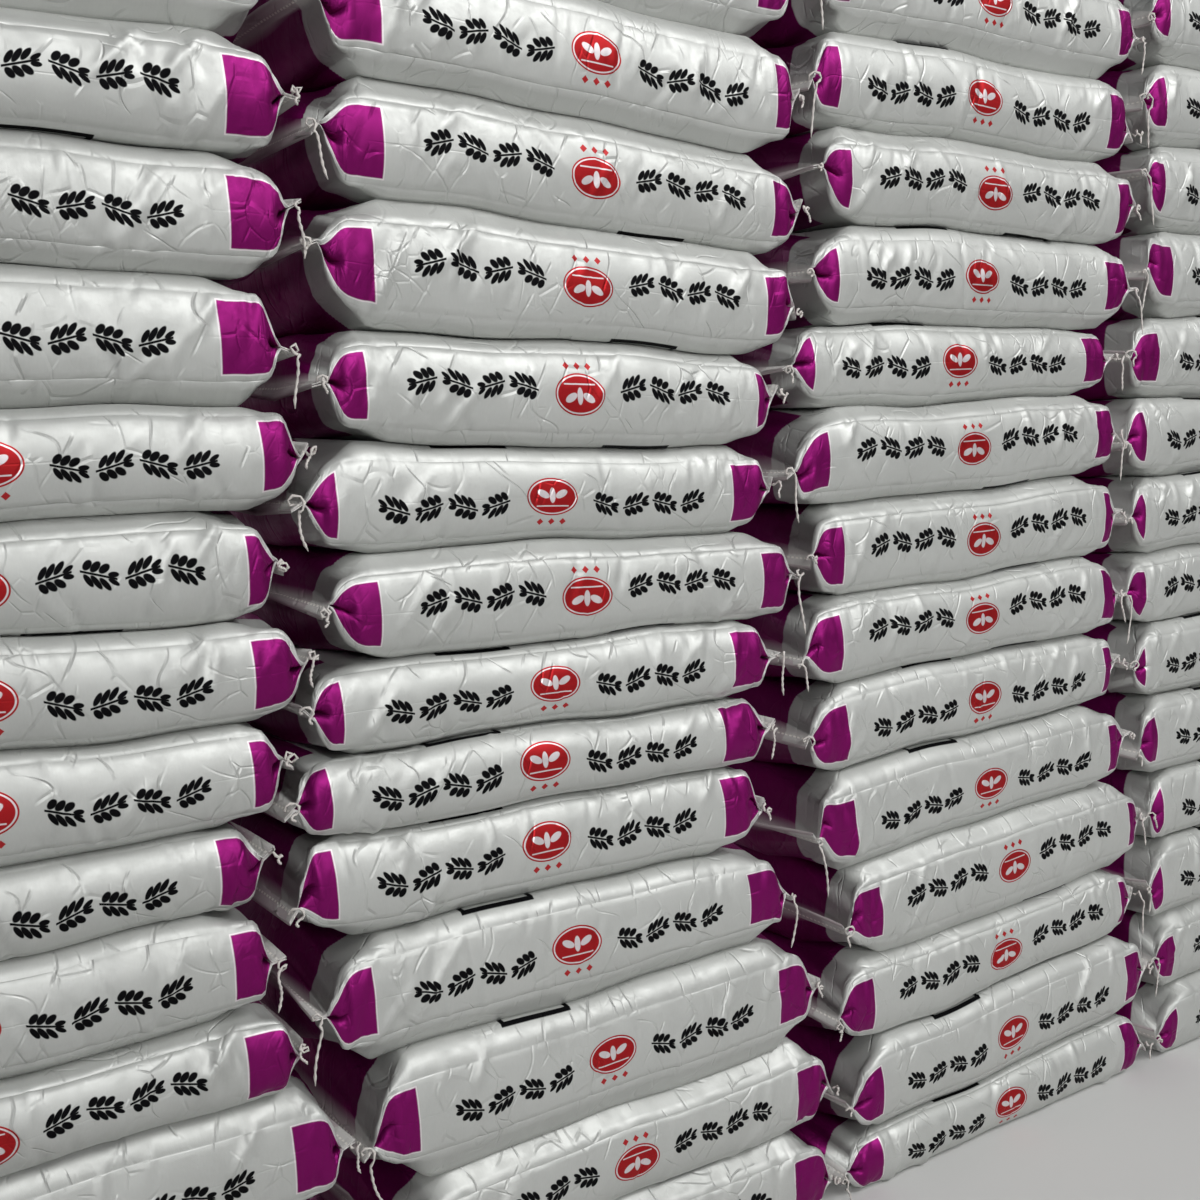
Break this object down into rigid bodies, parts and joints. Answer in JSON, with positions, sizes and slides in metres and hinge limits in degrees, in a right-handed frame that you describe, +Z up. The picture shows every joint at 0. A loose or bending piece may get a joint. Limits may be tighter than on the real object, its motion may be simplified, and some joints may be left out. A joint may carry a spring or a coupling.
{
  "type": "stack of sacks",
  "caption": "Wall-like stack of filled side-gusseted woven plastic sacks, laid flat in side-by-side columns one sack deep, with gussets to the front.",
  "frame": {"origin": "centre of the stack's bounding box on the floor the lowest layer rests on", "axes": "+X along the row of columns to the right as seen from the front, -Y out of the gusset faces seen in the picture, +Z up"},
  "size_m": [3.1232, 0.442, 1.9414],
  "materials": {
    "woven_film": "pearl-silver laminated woven film, satin"
  },
  "bodies": {
    "root": {"sack_c1_01": "woven_film", "sack_c1_02": "woven_film", "sack_c1_03": "woven_film", "sack_c1_04": "woven_film", "sack_c1_05": "woven_film", "sack_c1_06": "woven_film", "sack_c1_07": "woven_film", "sack_c1_08": "woven_film", "sack_c1_09": "woven_film", "sack_c1_10": "woven_film", "sack_c1_11": "woven_film", "sack_c1_12": "woven_film", "sack_c1_13": "woven_film", "sack_c1_14": "woven_film", "sack_c2_01": "woven_film", "sack_c2_02": "woven_film", "sack_c2_03": "woven_film", "sack_c2_04": "woven_film", "sack_c2_05": "woven_film", "sack_c2_06": "woven_film", "sack_c2_07": "woven_film", "sack_c2_08": "woven_film", "sack_c2_09": "woven_film", "sack_c2_10": "woven_film", "sack_c2_11": "woven_film", "sack_c2_12": "woven_film", "sack_c2_13": "woven_film", "sack_c2_14": "woven_film", "sack_c3_01": "woven_film", "sack_c3_02": "woven_film", "sack_c3_03": "woven_film", "sack_c3_04": "woven_film", "sack_c3_05": "woven_film", "sack_c3_06": "woven_film", "sack_c3_07": "woven_film", "sack_c3_08": "woven_film", "sack_c3_09": "woven_film", "sack_c3_10": "woven_film", "sack_c3_11": "woven_film", "sack_c3_12": "woven_film", "sack_c3_13": "woven_film", "sack_c3_14": "woven_film", "sack_c4_01": "woven_film", "sack_c4_02": "woven_film", "sack_c4_03": "woven_film", "sack_c4_04": "woven_film", "sack_c4_05": "woven_film", "sack_c4_06": "woven_film", "sack_c4_07": "woven_film", "sack_c4_08": "woven_film", "sack_c4_09": "woven_film", "sack_c4_10": "woven_film", "sack_c4_11": "woven_film", "sack_c4_12": "woven_film", "sack_c4_13": "woven_film", "sack_c4_14": "woven_film"}
  },
  "joints": []
}
